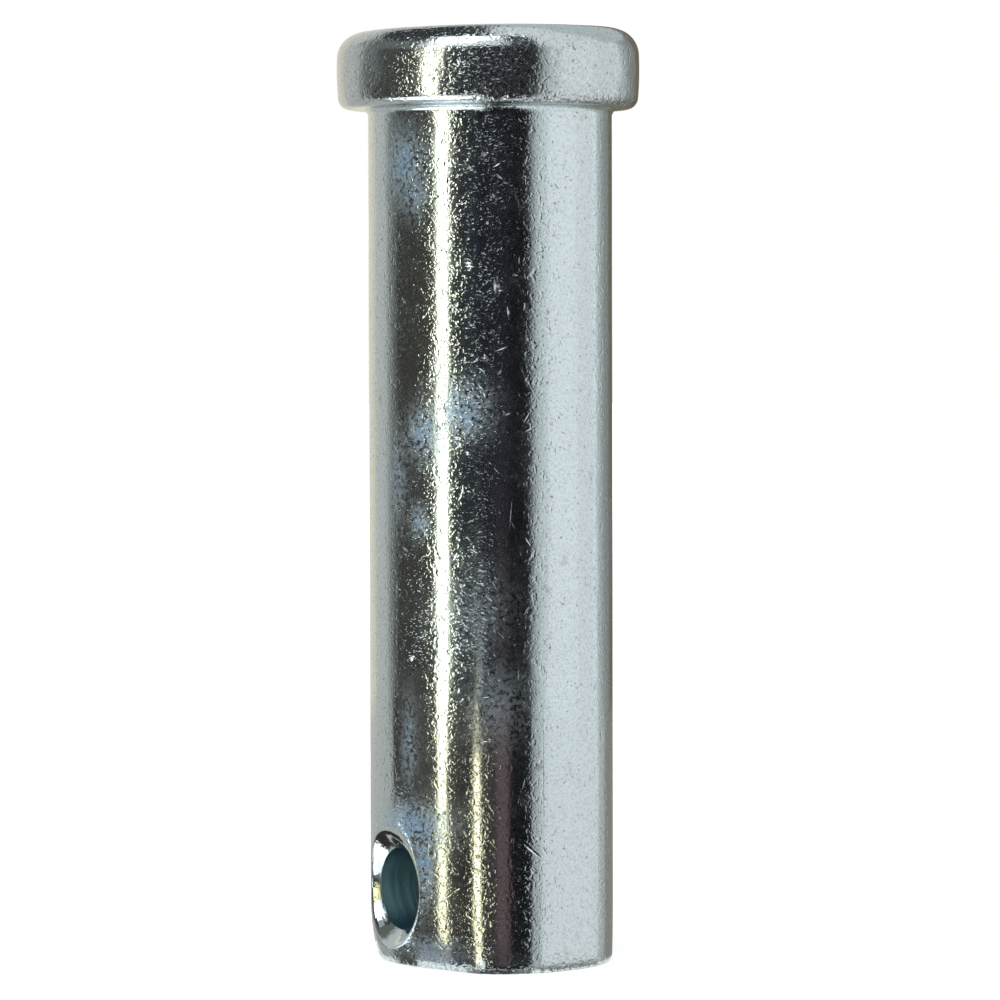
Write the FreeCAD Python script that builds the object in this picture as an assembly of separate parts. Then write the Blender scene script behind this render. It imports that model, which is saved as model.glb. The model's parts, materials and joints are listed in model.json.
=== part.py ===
"""Clevis pin: a headed steel pin with one cross hole near its plain end.

The pin is one piece. It stands on its plain end: the origin is the centre of that end face, +Z runs
up the axis to the head, and the cross hole lies along X. All sizes are in millimetres.
"""

import FreeCAD, Part
import math
import os

# Shank
SHANK_DIAMETER = 12.6
LENGTH_UNDER_HEAD = 44.1
LEAD_LENGTH = 2.4
LEAD_DEPTH = 0.2
LEAD_BLEND_RADIUS = 8.0
END_EDGE_RADIUS = 0.35

# Head: the diameter is the widest, halfway up, and the draft is how far the side falls back to each face
HEAD_DIAMETER = 15.65
HEAD_HEIGHT = 4.1
HEAD_SIDE_DRAFT = 0.12
HEAD_SIDE_RADIUS = 9.0
CROWN_RADIUS = 1.38
BEARING_EDGE_RADIUS = 0.45
NECK_FILLET_RADIUS = 0.4

# Cross hole, with a countersink at each mouth
CROSS_HOLE_DIAMETER = 4.2
CROSS_HOLE_TO_END = 4.0
COUNTERSINK_DIAMETER = 6.0
COUNTERSINK_ANGLE_DEG = 90.0

# How far a cutter stands clear of the metal that it cuts
CUTTER_CLEARANCE = 1.0

# The share of a straight run that the roundings at its two ends may use up
RUN_SHARE = 0.98

AXIS_X = FreeCAD.Vector(1, 0, 0)
AXIS_Z = FreeCAD.Vector(0, 0, 1)
ORIGIN = FreeCAD.Vector(0, 0, 0)


def tangent_reaches(points, radii):
    """Distance from each corner to where its rounding meets the straight runs, limited by the runs."""
    reaches = [0.0] * len(points)
    for i in range(1, len(points) - 1):
        turn = (points[i] - points[i - 1]).getAngle(points[i + 1] - points[i])
        reaches[i] = radii[i] * math.tan(turn / 2)
    limits = [1.0] * len(points)
    for i in range(len(points) - 1):
        run = (points[i + 1] - points[i]).Length
        wanted = reaches[i] + reaches[i + 1]
        if wanted > run * RUN_SHARE:
            share = run * RUN_SHARE / wanted
            limits[i] = min(limits[i], share)
            limits[i + 1] = min(limits[i + 1], share)
    return [reach * limit for reach, limit in zip(reaches, limits)]


def rounded_outline(corners):
    """Edges from the first corner to the last, each corner rounded by an arc that is tangent to its runs.

    A corner is (distance from the axis, height, rounding radius), and a radius of 0 stays sharp.
    """
    points = [FreeCAD.Vector(x, 0, z) for x, z, _ in corners]
    reaches = tangent_reaches(points, [radius for _, _, radius in corners])
    edges = []
    start = points[0]
    for i in range(1, len(points)):
        back = (points[i - 1] - points[i]).normalize()
        if reaches[i] == 0:
            edges.append(Part.LineSegment(start, points[i]).toShape())
            start = points[i]
            continue
        onward = (points[i + 1] - points[i]).normalize()
        arrive = points[i] + back * reaches[i]
        leave = points[i] + onward * reaches[i]
        half_corner = back.getAngle(onward) / 2
        to_centre = reaches[i] / math.cos(half_corner)
        radius = reaches[i] * math.tan(half_corner)
        bisector = (back + onward).normalize()
        middle = points[i] + bisector * (to_centre - radius)
        edges.append(Part.LineSegment(start, arrive).toShape())
        edges.append(Part.Arc(arrive, middle, leave).toShape())
        start = leave
    return edges


def turned(edges, axis):
    """Solid of revolution of an outline that starts and ends on the axis."""
    first = edges[0].Vertexes[0].Point
    last = edges[-1].Vertexes[-1].Point
    closing = Part.LineSegment(last, first).toShape()
    face = Part.Face(Part.Wire(edges + [closing]))
    return face.revolve(ORIGIN, axis, 360)


def headed_blank():
    """Shank and upset head in one turned outline: tapered lead, neck fillet, barrelled side, round crown."""
    shank_radius = SHANK_DIAMETER / 2
    head_radius = HEAD_DIAMETER / 2
    bearing_z = LENGTH_UNDER_HEAD
    top_z = LENGTH_UNDER_HEAD + HEAD_HEIGHT
    widest_z = (bearing_z + top_z) / 2
    side_lean = math.atan2(HEAD_SIDE_DRAFT, HEAD_HEIGHT / 2)
    rounded_off = HEAD_SIDE_RADIUS * (1 / math.cos(side_lean) - 1)
    head_radius += rounded_off
    return turned(rounded_outline([
        (0, 0, 0),
        (shank_radius - LEAD_DEPTH, 0, END_EDGE_RADIUS),
        (shank_radius, LEAD_LENGTH, LEAD_BLEND_RADIUS),
        (shank_radius, bearing_z, NECK_FILLET_RADIUS),
        (head_radius - HEAD_SIDE_DRAFT, bearing_z, BEARING_EDGE_RADIUS),
        (head_radius, widest_z, HEAD_SIDE_RADIUS),
        (head_radius - HEAD_SIDE_DRAFT, top_z, CROWN_RADIUS),
        (0, top_z, 0),
    ]), AXIS_Z)


def cross_hole_cutter():
    """Drill and both countersinks as one turned cutter along X, as wide at the shank's skin as stated."""
    hole_radius = CROSS_HOLE_DIAMETER / 2
    sink_radius = COUNTERSINK_DIAMETER / 2
    slope = math.tan(math.radians(COUNTERSINK_ANGLE_DEG / 2))
    skin = SHANK_DIAMETER / 2
    rim = skin - (sink_radius - hole_radius) / slope
    outside = skin + CUTTER_CLEARANCE
    outside_radius = sink_radius + CUTTER_CLEARANCE * slope
    cutter = turned(rounded_outline([
        (-outside, 0, 0),
        (-outside, outside_radius, 0),
        (-rim, hole_radius, 0),
        (rim, hole_radius, 0),
        (outside, outside_radius, 0),
        (outside, 0, 0),
    ]), AXIS_X)
    cutter.translate(AXIS_Z * CROSS_HOLE_TO_END)
    return cutter


def clevis_pin():
    """The finished pin: the headed blank with its cross hole."""
    return headed_blank().cut(cross_hole_cutter())


def main():
    """Write each piece of the part as a STEP file named after its node."""
    os.makedirs("parts", exist_ok=True)
    pieces = {"clevis_pin": clevis_pin()}
    for node, shape in pieces.items():
        shape.exportStep(os.path.join("parts", node + ".step"))
        box = shape.BoundBox
        size = f"{box.XLength:.2f} x {box.YLength:.2f} x {box.ZLength:.2f} mm"
        print(f"{node}: {len(shape.Solids)} solid, {size}, volume {shape.Volume:.1f} mm3, valid {shape.isValid()}")


main()
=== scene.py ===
"""Clevis pin of bright zinc plated steel, dressed and lit for its picture.

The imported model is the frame: its mounts and its box give the sizes. The pin's visible surface is one
closed mesh that stands in the CAD node's place, with the small faults of a headed, sheared and
barrel-plated pin: a rolled-over end, a head slightly out of true, shallow dents, and fine nicks.
"""

import json
import math

import bpy
import numpy as np
from bpy.props import FloatProperty, IntProperty, PointerProperty, StringProperty
from mathutils import Matrix, Vector


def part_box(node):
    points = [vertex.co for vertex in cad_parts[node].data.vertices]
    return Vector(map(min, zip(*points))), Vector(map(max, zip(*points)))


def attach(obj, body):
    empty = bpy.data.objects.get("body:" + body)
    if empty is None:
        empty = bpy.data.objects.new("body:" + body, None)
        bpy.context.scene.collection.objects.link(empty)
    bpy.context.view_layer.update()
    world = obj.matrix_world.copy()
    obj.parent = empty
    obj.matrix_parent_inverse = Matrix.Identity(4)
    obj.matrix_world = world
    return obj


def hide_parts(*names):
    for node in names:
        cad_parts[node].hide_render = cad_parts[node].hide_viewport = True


bl_info = {
    "name": "Clevis pin",
    "version": (1, 0, 0),
    "blender": (4, 5, 0),
    "location": "3D View > Sidebar > Clevis pin",
    "description": "Builds a zinc plated clevis pin and the studio it is pictured in",
    "category": "Object",
}

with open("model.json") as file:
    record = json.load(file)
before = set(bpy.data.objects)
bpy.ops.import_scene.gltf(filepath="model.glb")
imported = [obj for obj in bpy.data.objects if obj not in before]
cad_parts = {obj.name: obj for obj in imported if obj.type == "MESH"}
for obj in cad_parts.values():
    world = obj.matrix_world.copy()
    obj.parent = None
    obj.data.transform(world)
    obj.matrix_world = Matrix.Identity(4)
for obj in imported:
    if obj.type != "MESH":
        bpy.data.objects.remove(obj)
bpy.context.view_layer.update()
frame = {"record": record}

MM = 0.001
NODE = "clevis_pin"

MOUNTS = {mount["name"]: mount for mount in frame["record"]["mounts"]}
SHANK_RADIUS = MOUNTS["shank"]["dims"]["r_mm"] * MM
HOLE_RADIUS = MOUNTS["cross_hole"]["dims"]["r_mm"] * MM
HOLE_HEIGHT = MOUNTS["cross_hole"]["pos_m"][2]
BEARING_HEIGHT = MOUNTS["bearing_face"]["pos_m"][2]
TOP_HEIGHT = MOUNTS["head_top"]["pos_m"][2]
HEAD_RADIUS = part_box(NODE)[1].x

# The camera stands at this azimuth, where 0 looks along +Y, and its left is where the end rolled over
CAMERA_AZIMUTH = math.radians(-30.0)
TOWARD_CAMERA = np.array([math.sin(CAMERA_AZIMUTH), -math.cos(CAMERA_AZIMUTH), 0.0])
CAMERA_RIGHT = np.array([math.cos(CAMERA_AZIMUTH), math.sin(CAMERA_AZIMUTH), 0.0])


def length(name, description, default):
    """A size property in metres."""
    return FloatProperty(
        name=name, description=description, default=default, min=0.0, precision=5, unit="LENGTH")


def angle(name, description, degrees):
    """An angle property, given in degrees."""
    return FloatProperty(name=name, description=description, default=math.radians(degrees), subtype="ANGLE")


def amount(name, description, default, **limits):
    """A plain number property that isn't negative."""
    return FloatProperty(name=name, description=description, default=default, min=0.0, **limits)


def tint(name, description, default):
    """A colour property, written as an sRGB hex value."""
    return StringProperty(name=name, description=description, default=default)


def linear(hex_colour):
    """Linear red, green, blue and a full alpha from an sRGB hex value such as #C8D4D6."""
    channels = [int(hex_colour[i:i + 2], 16) / 255 for i in (1, 3, 5)]
    curve = [c / 12.92 if c <= 0.04045 else ((c + 0.055) / 1.055) ** 2.4 for c in channels]
    return (*curve, 1.0)


class PinForm(bpy.types.PropertyGroup):
    """Sizes of the pin that the frame's mounts don't give, and the faults of this one pin."""
    crown_radius: length("Crown radius", "Rounding between the head's side and its top", 1.38 * MM)
    bearing_edge: length("Bearing edge", "Rounding between the head's side and its underside", 0.6 * MM)
    neck_fillet: length("Neck fillet", "Fillet between the shank and the head", 0.4 * MM)
    side_draft: length("Side draft", "How far the head's side falls back at its top and bottom", 0.12 * MM)
    lead_length: length("Lead length", "Height of the slight taper at the plain end", 2.5 * MM)
    lead_depth: length("Lead depth", "Depth of that taper at the end", 0.06 * MM)
    end_edge: length("End edge", "Rounding of the plain end's edge", 0.14 * MM)
    mouth_height: length("Mouth height", "Half the height of the countersink's mouth", 3.02 * MM)
    mouth_width: length("Mouth width", "Half the width of the countersink's mouth", 2.66 * MM)
    mouth_near: length("Mouth, near side", "The same on the side toward the camera", 2.53 * MM)
    mouth_depth: length("Mouth depth", "From the shank's skin down to the bore", 0.88 * MM)
    mouth_edge: length("Mouth edge", "Softened edge of the countersink's mouth", 0.15 * MM)
    mouth_peen: length("Mouth peening", "How much more the mouth's upper right edge is beaten in", 0.5 * MM)
    rim_edge: length("Rim edge", "Softened edge between the countersink and the bore", 0.03 * MM)
    roll_over: length("Roll-over", "How much deeper the end is rolled over on its left", 0.34 * MM)
    roll_height: length("Roll-over height", "How far up the shank the roll-over reaches", 3.4 * MM)
    end_lift: length("End lift", "How far the sheared end's left edge is drawn up", 0.2 * MM)
    head_offset: length("Head offset", "How far the head sits left of the shank's axis", 0.1 * MM)
    head_tilt: angle("Head tilt", "Slope of the head's top, down to the left", 0.85)
    head_flat: length("Head flat", "Depth of a flat struck into the head's side, on its left", 0.055 * MM)
    dents: IntProperty(
        name="Dents", description="Shallow dents from tumbling with other pins", default=210, min=0)
    dent_depth: length("Dent depth", "Depth of the deepest dent", 0.018 * MM)
    wave_depth: length("Waves", "Depth of the long waves in the drawn bar", 0.006 * MM)


class PinFinish(bpy.types.PropertyGroup):
    """Colours and marks of the plating."""
    zinc: tint("Zinc", "Bright zinc with a clear blue passivate", "#CCD9DD")
    zinc_dull: tint("Dull zinc", "Zinc where the plating is thin or has dulled", "#ACB1B2")
    haze: tint("Haze", "Bluish residue left by the passivate", "#6898C2")
    haze_thick: tint("Thick haze", "The same where it is thick and dried white", "#E0EAF2")
    stain: tint("Stain", "Brown stains from handling", "#6E6456")
    bore: tint("Bore", "Thicker blue-green passivate inside the drilled hole", "#90BCC2")
    # The bore's darker tone toward the hole's top and bottom is painted shade inside the bore
    bore_painted_shade: tint("Bore ends", "The same at the hole's top and bottom, where it is thickest", "#2C5068")
    roughness: amount("Roughness", "Roughness of the bright skin", 0.12, max=1.0, subtype="FACTOR")
    head_roughness: amount("Head roughness", "Roughness of the headed end", 0.13, max=1.0, subtype="FACTOR")


class StudioLayout(bpy.types.PropertyGroup):
    """Camera, lamps and cards of the studio."""
    camera_distance: length("Camera distance", "From the pin's axis, level", 248.9 * MM)
    camera_height: length("Camera height", "Above the floor", 33.4 * MM)
    aim_height: length("Aim height", "Height on the pin that the camera looks at", 23.9 * MM)
    aim_right: length("Aim right", "How far right of the pin's axis the camera looks", 0.47 * MM)
    camera_roll: angle("Camera roll", "Turn about the line of sight", 0.14)
    lens: FloatProperty(name="Lens", description="Focal length", default=172.9, unit="CAMERA")
    lamp_distance: length("Lamp distance", "From the pin's axis to the strip lamp", 162 * MM)
    strip_light: amount("Strip light", "Brightness of the strip lamps", 4.5)
    bank_light: amount("Bank light", "Brightness of the bank lamps", 2.4)
    room_light: amount("Room light", "Light from all round", 0.45)


# How finely the pin's surface is divided
COLUMNS = 288
WINDOW_COLUMNS = 24
WINDOW_ROWS = 56
WINDOW_HALF_HEIGHT = 3.5 * MM
SKIN_RINGS = 8
CONE_RINGS = 6
BORE_RINGS = 36
EDGE_RINGS = 4
END_STEPS = 14
END_EDGE_STEPS = 8
SHANK_STEPS = 119
NECK_STEPS = 8
UNDERSIDE_STEPS = 5
LOWER_EDGE_STEPS = 10
SIDE_STEPS = 16
CROWN_STEPS = 20
TOP_STEPS = 17

# The end face's rings come closer together toward its edge by this power of their share of the radius
END_CROWDING = 0.8


def ease(share):
    """3s² - 2s³ of a share s that is held between 0 and 1."""
    share = np.clip(share, 0.0, 1.0)
    return share * share * (3.0 - 2.0 * share)


def azimuth_of(place):
    """Azimuth of each point, in radians right of the camera."""
    return np.arctan2(place @ CAMERA_RIGHT, place @ TOWARD_CAMERA)


def arc(centre, radius, start, end, count):
    """Points (distance from the axis, height) on a circle, from one angle to another, ends included."""
    turn = np.linspace(start, end, count + 1)
    return np.stack([centre[0] + radius * np.cos(turn), centre[1] + radius * np.sin(turn)], axis=1)


def skin_radius(height, form):
    """Shank radius at a height: full, less the lead's depth times (1 - height / lead length) ** 1.5."""
    share = np.clip(1.0 - height / form.lead_length, 0.0, 1.0)
    return SHANK_RADIUS - form.lead_depth * share ** 1.5


def outline(form):
    """Half section of the pin from the centre of its end to the centre of its top.

    Straight runs and tangent arcs. The head's side is a circle through its draft, so its centre lies on
    the head's middle height, and each corner's circle touches it from inside: that corner's centre is as
    far from the big centre as the difference of the two radii. Returns the points, the row where the hole
    windows start, and each point's share in the head.
    """
    end_radius = skin_radius(0.0, form)
    window_low = HOLE_HEIGHT - WINDOW_HALF_HEIGHT
    window_high = HOLE_HEIGHT + WINDOW_HALF_HEIGHT
    neck = BEARING_HEIGHT - form.neck_fillet
    fillet_radius = SHANK_RADIUS + form.neck_fillet
    middle = (BEARING_HEIGHT + TOP_HEIGHT) / 2
    half_height = (TOP_HEIGHT - BEARING_HEIGHT) / 2
    side_radius = (form.side_draft ** 2 + half_height ** 2) / (2 * form.side_draft)
    side_centre = HEAD_RADIUS - side_radius
    edge_height = BEARING_HEIGHT + form.bearing_edge
    crown_height = TOP_HEIGHT - form.crown_radius
    edge_reach = math.sqrt((side_radius - form.bearing_edge) ** 2 - (edge_height - middle) ** 2)
    crown_reach = math.sqrt((side_radius - form.crown_radius) ** 2 - (crown_height - middle) ** 2)
    edge_turn = math.atan2(edge_height - middle, edge_reach)
    crown_turn = math.atan2(crown_height - middle, crown_reach)
    edge_centre = side_centre + edge_reach
    crown_centre = side_centre + crown_reach

    end_run = np.linspace(0.0, 1.0, END_STEPS + 1)[1:] ** END_CROWDING * (end_radius - form.end_edge)
    end_face = np.stack([end_run, np.zeros(END_STEPS)], axis=1)
    end_centre = (end_radius - form.end_edge, form.end_edge)
    end_edge = arc(end_centre, form.end_edge, -math.pi / 2, 0.0, END_EDGE_STEPS)[1:-1]
    lead = np.array([form.end_edge, (form.end_edge + window_low) / 2])
    window = np.linspace(window_low, window_high, WINDOW_ROWS + 1)
    shank = np.linspace(window_high, neck, SHANK_STEPS + 1)[1:]
    heights = np.concatenate([lead, window, shank])
    sides = np.stack([skin_radius(heights, form), heights], axis=1)
    neck_arc = arc((fillet_radius, neck), form.neck_fillet, math.pi, math.pi / 2, NECK_STEPS)[1:]
    bearing = np.linspace(fillet_radius, edge_centre, UNDERSIDE_STEPS + 1)[1:]
    underside = np.stack([bearing, np.full(UNDERSIDE_STEPS, BEARING_HEIGHT)], axis=1)
    lower_edge = arc(
        (edge_centre, edge_height), form.bearing_edge, -math.pi / 2, edge_turn, LOWER_EDGE_STEPS)[1:]
    side = arc((side_centre, middle), side_radius, edge_turn, crown_turn, SIDE_STEPS)[1:]
    crown = arc((crown_centre, crown_height), form.crown_radius, crown_turn, math.pi / 2, CROWN_STEPS)[1:]
    top_run = (1.0 - np.linspace(0.0, 1.0, TOP_STEPS + 2)[1:-1]) * crown_centre
    top_face = np.stack([top_run, np.full(TOP_STEPS, TOP_HEIGHT)], axis=1)

    points = np.concatenate(
        [end_face, end_edge, sides, neck_arc, underside, lower_edge, side, crown, top_face])
    first_row = len(end_face) + len(end_edge) + len(lead)
    below = len(end_face) + len(end_edge) + len(sides) + len(neck_arc)
    head = np.ones(len(points))
    head[:below] = 0.0
    head[below:below + len(underside)] = ease(np.linspace(0.0, 1.0, len(underside) + 1)[1:])
    return points, first_row, head


def outward_of(points):
    """Unit normals of an outline, a quarter turn clockwise from the run between each point's neighbours."""
    along = np.gradient(points, axis=0)
    normals = np.stack([along[:, 1], -along[:, 0]], axis=1)
    return normals / np.linalg.norm(normals, axis=1, keepdims=True)


# Where the countersink's mouth is peened and how far that reaches, as angles round the hole
PEENED_AT = math.radians(66.0)
PEENED_REACH = 0.4


def mouth_line(angles, form):
    """The countersink's edge on the skin, at the given angles round the hole on the +X side.

    Its distance from the hole's axis goes from half the mouth's width at the sides to half its height at
    the top and bottom, with the square of the angle's sine.
    """
    side = np.where(np.cos(angles) > 0, form.mouth_near, form.mouth_width)
    radius = side + (form.mouth_height - side) * np.sin(angles) ** 2
    y = radius * np.cos(angles)
    z = HOLE_HEIGHT + radius * np.sin(angles)
    return np.stack([np.sqrt(skin_radius(z, form) ** 2 - y ** 2), y, z], axis=1)


def bent(start, corner, end, count):
    """Rings along a quadratic curve from start to end that is drawn towards the corner ring."""
    shares = np.linspace(0.0, 1.0, count + 1)[:, None, None]
    return (1 - shares) ** 2 * start + 2 * shares * (1 - shares) * corner + shares ** 2 * end


def hole_rings(border, form):
    """Rings of points from a window's border, over the mouth's edge, down the cone and to the bore.

    border holds the azimuths and heights of the window's border on the +X side, anticlockwise as seen
    from outside. Rings on the skin are straight blends, in azimuth and height, of the border and a line
    just outside the mouth, set on the skin.
    """
    azimuths, heights = border
    by_place = np.unwrap(np.arctan2(heights - HOLE_HEIGHT, azimuths * SHANK_RADIUS))
    steps = np.arange(len(azimuths)) / len(azimuths)
    evenly = by_place[0] + 2 * math.pi * steps
    angles = (by_place + evenly) / 2
    mouth = mouth_line(angles, form)
    round_hole = np.stack([np.zeros_like(angles), np.cos(angles), np.sin(angles)], axis=1)
    from_peened = (angles - PEENED_AT + math.pi) % (2 * math.pi) - math.pi
    edge = (form.mouth_edge + form.mouth_peen * np.exp(-(from_peened / PEENED_REACH) ** 2))[:, None]

    past = mouth + round_hole * edge
    past_azimuth = np.arctan2(past[:, 1], mouth[:, 0])
    skin_rings = []
    for share in np.linspace(0.0, 1.0, SKIN_RINGS + 1)[1:]:
        azimuth = azimuths * (1 - share) + past_azimuth * share
        height = heights * (1 - share) + past[:, 2] * share
        radius = skin_radius(height, form)
        skin_rings.append(np.stack([radius * np.cos(azimuth), radius * np.sin(azimuth), height], axis=1))
    skin_rings = np.array(skin_rings)

    corner = round_hole * HOLE_RADIUS + np.array([SHANK_RADIUS - form.mouth_depth, 0.0, HOLE_HEIGHT])
    inward = (corner - mouth) / np.linalg.norm(corner - mouth, axis=1, keepdims=True)
    below_mouth = mouth + inward * edge
    mouth_edge = bent(skin_rings[-1], mouth, below_mouth, EDGE_RINGS)[1:]
    above_rim = corner - inward * form.rim_edge
    below_rim = corner - np.array([form.rim_edge, 0.0, 0.0])
    shares = np.linspace(0.0, 1.0, CONE_RINGS + 1)[1:, None, None]
    cone = below_mouth * (1 - shares) + above_rim * shares
    rim_edge = bent(above_rim, corner, below_rim, EDGE_RINGS)[1:]
    return np.concatenate([skin_rings, mouth_edge, cone, rim_edge])


def strips(rings):
    """Four-sided faces between each ring of point numbers and the next, both closed."""
    inner = rings[1:]
    outer = rings[:-1]
    faces = [outer, np.roll(outer, -1, axis=1), np.roll(inner, -1, axis=1), inner]
    return np.stack(faces, axis=-1).reshape(-1, 4)


def turned_pin(form):
    """The nominal pin as arrays: points, outward normals, share on the skin, share in the head, faces.

    The outline is turned round the axis in even columns. A window of columns and rows round each mouth of
    the cross hole is left out and filled with rings that lead over the mouth's edge and through the bore
    to the other mouth, so the surface is closed.
    """
    points, first_row, head = outline(form)
    normals = outward_of(points)
    rows = len(points)
    azimuth = 2 * math.pi * np.arange(COLUMNS) / COLUMNS
    ray = np.stack([np.cos(azimuth), np.sin(azimuth)], axis=1)
    place = np.empty((rows, COLUMNS, 3))
    place[..., :2] = points[:, None, :1] * ray
    place[..., 2] = points[:, None, 1]
    outward = np.empty((rows, COLUMNS, 3))
    outward[..., :2] = normals[:, None, :1] * ray
    outward[..., 2] = normals[:, None, 1]
    number = np.arange(rows * COLUMNS).reshape(rows, COLUMNS)

    kept = np.ones((rows - 1, COLUMNS), bool)
    last_row = first_row + WINDOW_ROWS
    for middle in (0, COLUMNS // 2):
        window = np.arange(middle - WINDOW_COLUMNS, middle + WINDOW_COLUMNS) % COLUMNS
        kept[first_row:last_row, window] = False
    right = np.roll(number, -1, axis=1)
    turned = np.stack([number[:-1], right[:-1], right[1:], number[1:]], axis=-1)
    quads = [turned[kept]]
    skins = [np.zeros(kept.sum(), int)]

    count = rows * COLUMNS
    parts = [(place.reshape(-1, 3), outward.reshape(-1, 3), np.ones(count), np.repeat(head, COLUMNS))]

    half = WINDOW_COLUMNS
    across = np.concatenate([
        np.arange(-half, half), np.full(WINDOW_ROWS, half), np.arange(half, -half, -1),
        np.full(WINDOW_ROWS, -half)])
    up = np.concatenate([
        np.zeros(2 * half, int), np.arange(WINDOW_ROWS), np.full(2 * half, WINDOW_ROWS),
        np.arange(WINDOW_ROWS, 0, -1)])
    border = (across * 2 * math.pi / COLUMNS, points[first_row + up, 1])
    rings = hole_rings(border, form)
    around = len(across)
    rim_numbers = []
    for turn, middle in ((1.0, 0), (-1.0, COLUMNS // 2)):
        sided = rings * np.array([turn, turn, 1.0])
        numbers = count + np.arange(rings.shape[0] * around).reshape(-1, around)
        edge = number[first_row + up, (middle + across) % COLUMNS]
        ladder = np.concatenate([edge[None], numbers])
        quads.append(strips(ladder))
        on_cone = np.arange(len(ladder) - 1) >= SKIN_RINGS + EDGE_RINGS // 2
        skins.append(np.repeat(on_cone, around).astype(int))
        flat = sided.reshape(-1, 3)
        radial = flat * np.array([1.0, 1.0, 0.0])
        radial /= np.linalg.norm(radial, axis=1, keepdims=True)
        on_skin = np.repeat((np.arange(rings.shape[0]) < SKIN_RINGS).astype(float), around)
        parts.append((flat, radial, on_skin, np.zeros(len(flat))))
        rim_numbers.append(numbers[-1])
        count += len(flat)

    depth = np.linspace(1.0, -1.0, BORE_RINGS + 1)[1:-1, None]
    start = rings[-1]
    bore = np.broadcast_to(start, (BORE_RINGS - 1, around, 3)).copy()
    bore[..., 0] = depth * start[:, 0]
    size = (BORE_RINGS - 1) * around
    numbers = count + np.arange(size).reshape(-1, around)
    opposite = (2 * half - np.arange(around)) % around
    ladder = np.concatenate([rim_numbers[0][None], numbers, rim_numbers[1][opposite][None]])
    quads.append(strips(ladder))
    skins.append(np.full((len(ladder) - 1) * around, 2))
    parts.append((bore.reshape(-1, 3), np.tile([1.0, 0.0, 0.0], (size, 1)), np.zeros(size), np.zeros(size)))
    count += size

    centres = np.array([[0.0, 0.0, 0.0], [0.0, 0.0, TOP_HEIGHT]])
    parts.append((centres, np.array([[0.0, 0.0, -1.0], [0.0, 0.0, 1.0]]), np.ones(2), np.array([0.0, 1.0])))
    end_fan = np.stack([np.full(COLUMNS, count), right[0], number[0]], axis=1)
    top_fan = np.stack([number[-1], right[-1], np.full(COLUMNS, count + 1)], axis=1)
    triangles = np.concatenate([end_fan, top_fan])
    skins.append(np.zeros(len(triangles), int))

    arrays = [np.concatenate(column) for column in zip(*parts)]
    return without_spares(*arrays, np.concatenate(quads), triangles, np.concatenate(skins))


def without_spares(place, outward, skin, head, quads, triangles, skins):
    """The same arrays without the points that no face uses, and with the faces renumbered."""
    used = np.unique(np.concatenate([quads.ravel(), triangles.ravel()]))
    renumber = np.zeros(len(place), int)
    renumber[used] = np.arange(len(used))
    return place[used], outward[used], skin[used], head[used], renumber[quads], renumber[triangles], skins


# Waves in the drawn bar: size, turns round the shank, radians for each millimetre of height, and start
WAVES = ((1.0, 2, 0.11, 0.7), (0.7, 5, -0.23, 2.1), (0.5, 3, 0.61, 4.0))


def waves(place, form):
    """Long shallow waves of a drawn bar: three sines that run round and up the shank at odd rates."""
    azimuth = np.arctan2(place[:, 1], place[:, 0])
    height = place[:, 2] / MM
    total = sum(size * np.sin(turns * azimuth + rise * height + start) for size, turns, rise, start in WAVES)
    return form.wave_depth * total / sum(wave[0] for wave in WAVES)


# Dents: least and greatest width in millimetres, how much likelier and how much wider they are on the head,
# how far they are drawn out, the least share of the full depth, and the start of the random numbers
DENT_WIDTHS = (0.22, 0.6)
DENTS_ON_HEAD = 3.0
WIDER_ON_HEAD = 0.5
DRAWN_OUT = (1.0, 3.0)
SHALLOWEST = 0.15
DENT_SEED = 7


def dented(place, outward, skin, head, form, random):
    """Depth of the dents at each point.

    A dent is a Gaussian hollow round a random point of the surface. It is drawn out along a random
    direction: the distance along that direction counts less. The head has more and wider dents.
    """
    depth = np.zeros(len(place))
    on_skin = np.flatnonzero(skin > 0)
    weight = 1.0 + DENTS_ON_HEAD * head[on_skin]
    chosen = random.choice(on_skin, form.dents, p=weight / weight.sum())
    for centre in chosen:
        direction = random.normal(size=3)
        direction -= outward[centre] * (direction @ outward[centre])
        direction /= np.linalg.norm(direction)
        width = random.uniform(*DENT_WIDTHS) * MM * (1.0 + WIDER_ON_HEAD * head[centre])
        drawn_out = random.uniform(*DRAWN_OUT)
        deep = form.dent_depth * random.uniform(SHALLOWEST, 1.0) ** 1.5 * width / (DENT_WIDTHS[1] * MM)
        away = place - place[centre]
        along = away @ direction
        squared = (away ** 2).sum(axis=1) - along ** 2 * (1 - 1 / drawn_out ** 2)
        depth += deep * np.exp(-squared / (2 * width ** 2))
    return depth


# Where the head's flat is and its width along the side
FLAT_AT = math.radians(-32.0)
FLAT_WIDTH = 0.95 * MM

# From what share of the radius to the left the roll-over starts, at what share the drawn edge is full and
# how far up it fades, how far up the shank the waves grow, and at what share of the head's radius to the
# right its tilt leaves the height alone
ROLL_FROM = -0.3
LIFT_FULL = 0.5
LIFT_FADES = 0.8 * MM
WAVES_GROW = 3 * MM
TILT_PIVOT = 0.6


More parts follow.
